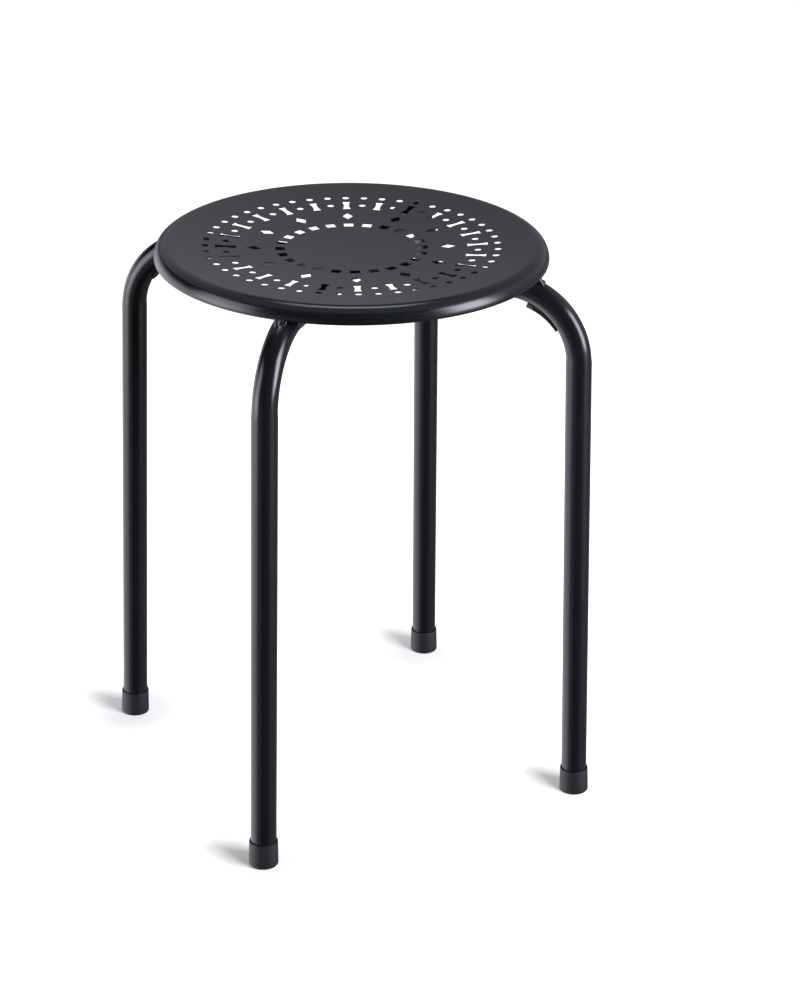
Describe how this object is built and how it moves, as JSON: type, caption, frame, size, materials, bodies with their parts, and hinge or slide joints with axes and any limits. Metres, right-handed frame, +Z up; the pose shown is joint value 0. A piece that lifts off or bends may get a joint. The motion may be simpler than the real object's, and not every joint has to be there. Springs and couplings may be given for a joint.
{
  "type": "stacking stool",
  "caption": "Round backless stacking stool: a dished, perforated sheet-metal seat on bent tube legs that cross under it, with stacking pads in the bends and plastic foot caps.",
  "frame": {"origin": "on the floor under the middle of the seat", "axes": "+Z up; +X and +Y level, so that each leg stands on a diagonal between two of them"},
  "size_m": [0.3064, 0.3064, 0.4445],
  "materials": {
    "pan_coat": "satin black powder coat on pressed steel sheet",
    "tube_coat": "semi-gloss black powder coat on steel tube",
    "weld_coat": "glossy black powder coat over weld beads",
    "pad_plastic": "matte black moulded polyethylene",
    "cap_plastic": "matte black moulded polyethylene"
  },
  "bodies": {
    "root": {"seat_pan": "pan_coat", "hub_weld": "weld_coat", "leg_tube_front_right": "tube_coat", "rim_weld_front_right": "weld_coat", "stack_pad_front_right": "pad_plastic", "foot_cap_front_right": "cap_plastic", "leg_tube_back_right": "tube_coat", "rim_weld_back_right": "weld_coat", "stack_pad_back_right": "pad_plastic", "foot_cap_back_right": "cap_plastic", "leg_tube_back_left": "tube_coat", "rim_weld_back_left": "weld_coat", "stack_pad_back_left": "pad_plastic", "foot_cap_back_left": "cap_plastic", "leg_tube_front_left": "tube_coat", "rim_weld_front_left": "weld_coat", "stack_pad_front_left": "pad_plastic", "foot_cap_front_left": "cap_plastic"}
  },
  "joints": []
}
